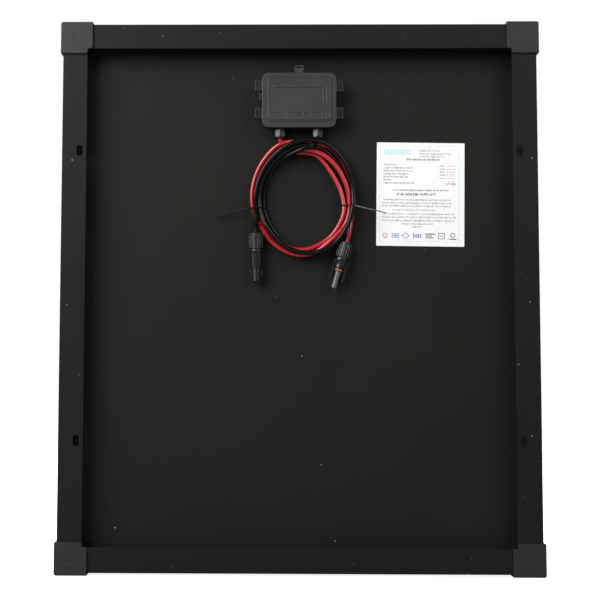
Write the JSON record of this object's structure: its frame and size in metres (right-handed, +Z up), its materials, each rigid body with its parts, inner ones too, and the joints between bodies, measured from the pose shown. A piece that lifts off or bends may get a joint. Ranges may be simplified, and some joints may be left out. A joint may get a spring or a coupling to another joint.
{
  "type": "solar panel",
  "caption": "framed photovoltaic panel with corner protectors, a rear junction box, two coiled leads with plug connectors and slotted mounting holes",
  "frame": {"origin": "bottom centre of the bounding box, on the floor between the corner protectors", "axes": "+Z up along the long side, +X to the right when looking at the back, the back faces -Y and the glass faces +Y"},
  "size_m": [0.545, 0.035, 0.625],
  "materials": {
    "frame_black": "black anodised, fine matte",
    "key_metal": "plain",
    "cap_plastic": "dark grey moulded",
    "glass": "clear tempered",
    "eva": "clear encapsulant",
    "cell": "dark silicon",
    "tinned": "tinned copper strip",
    "backsheet": "black film",
    "label": "printed film",
    "seal": "black",
    "box_plastic": "fine moulded texture",
    "nut_plastic": "satin moulded",
    "cable_black": "satin jacket",
    "cable_red": "satin jacket",
    "copper": "bright copper",
    "brass": "plain",
    "contact": "tinned",
    "steel": "zinc plated",
    "diode": "moulded",
    "orange_rubber": "orange",
    "tie": "coated wire"
  },
  "bodies": {
    "panel": {"frame_rail_left": "frame_black", "frame_rail_right": "frame_black", "frame_rail_top": "frame_black", "frame_rail_bottom": "frame_black", "corner_keys": "key_metal", "edge_seal": "seal", "front_glass": "glass", "solar_cells": "cell", "cell_ribbons": "tinned", "bus_ribbons": "tinned", "front_encapsulant": "eva", "rear_encapsulant": "eva", "backsheet": "backsheet", "rating_label": "label", "box_adhesive_pad": "seal", "junction_box_base": "box_plastic", "junction_box_gasket": "seal", "terminal_negative": "brass", "terminal_centre": "brass", "terminal_positive": "brass", "terminal_screws": "steel", "bypass_diode_1": "diode", "bypass_diode_2": "diode", "cable_black_jacket": "cable_black", "cable_red_jacket": "cable_red", "cable_black_core": "copper", "cable_red_core": "copper", "pin_connector_housing": "nut_plastic", "pin_connector_collet": "box_plastic", "pin_connector_seal": "seal", "pin_contact": "contact", "socket_connector_housing": "nut_plastic", "socket_connector_collet": "box_plastic", "socket_connector_seal": "seal", "socket_contact": "contact", "socket_connector_oring": "orange_rubber", "tie_left": "tie", "tie_right": "tie", "gland_collet_left": "box_plastic", "gland_collet_right": "box_plastic", "gland_seal_left": "seal", "gland_seal_right": "seal"},
    "lid": {"junction_box_lid": "box_plastic"},
    "cap_top_left": {"corner_cap_top_left": "cap_plastic"},
    "cap_top_right": {"corner_cap_top_right": "cap_plastic"},
    "cap_bottom_left": {"corner_cap_bottom_left": "cap_plastic"},
    "cap_bottom_right": {"corner_cap_bottom_right": "cap_plastic"},
    "gland_left_nut": {"gland_nut_left": "nut_plastic"},
    "gland_right_nut": {"gland_nut_right": "nut_plastic"},
    "pin_nut": {"pin_connector_nut": "nut_plastic"},
    "socket_nut": {"socket_connector_nut": "nut_plastic"},
    "latch_left": {"socket_latch_left": "nut_plastic"},
    "latch_right": {"socket_latch_right": "nut_plastic"}
  },
  "joints": [
    {"name": "lid_lift", "type": "slide", "parent": "panel", "child": "lid", "axis": [0, -1, 0], "range_m": [0, 0.06]},
    {"name": "cap_top_left_slip", "type": "slide", "parent": "panel", "child": "cap_top_left", "axis": [-0.7071, 0, 0.7071], "range_m": [0, 0.05]},
    {"name": "cap_top_right_slip", "type": "slide", "parent": "panel", "child": "cap_top_right", "axis": [0.7071, 0, 0.7071], "range_m": [0, 0.05]},
    {"name": "cap_bottom_left_slip", "type": "slide", "parent": "panel", "child": "cap_bottom_left", "axis": [-0.7071, 0, -0.7071], "range_m": [0, 0.05]},
    {"name": "cap_bottom_right_slip", "type": "slide", "parent": "panel", "child": "cap_bottom_right", "axis": [0.7071, 0, -0.7071], "range_m": [0, 0.05]},
    {"name": "gland_left_nut_turn", "type": "hinge", "parent": "panel", "child": "gland_left_nut", "pos_m": [-0.0217, 0.0004, 0.498], "axis": [0, 0, -1], "range_deg": [0, 360]},
    {"name": "gland_right_nut_turn", "type": "hinge", "parent": "panel", "child": "gland_right_nut", "pos_m": [0.0217, 0.0004, 0.498], "axis": [0, 0, -1], "range_deg": [0, 360]},
    {"name": "pin_nut_turn", "type": "hinge", "parent": "panel", "child": "pin_nut", "pos_m": [-0.04915, -0.0001, 0.3743], "axis": [-0.017, 0, 0.9999], "range_deg": [0, 360]},
    {"name": "socket_nut_turn", "type": "hinge", "parent": "panel", "child": "socket_nut", "pos_m": [0.05178, -0.0001, 0.36376], "axis": [0.28, 0, 0.96], "range_deg": [0, 360]},
    {"name": "latch_left_flex", "type": "hinge", "parent": "panel", "child": "latch_left", "pos_m": [0.03996, -0.0001, 0.34929], "axis": [0, -1, 0], "range_deg": [0, 5], "stiffness_Nm_per_rad": 0.02},
    {"name": "latch_right_flex", "type": "hinge", "parent": "panel", "child": "latch_right", "pos_m": [0.05397, -0.0001, 0.3452], "axis": [0, 1, 0], "range_deg": [0, 5], "stiffness_Nm_per_rad": 0.02}
  ]
}
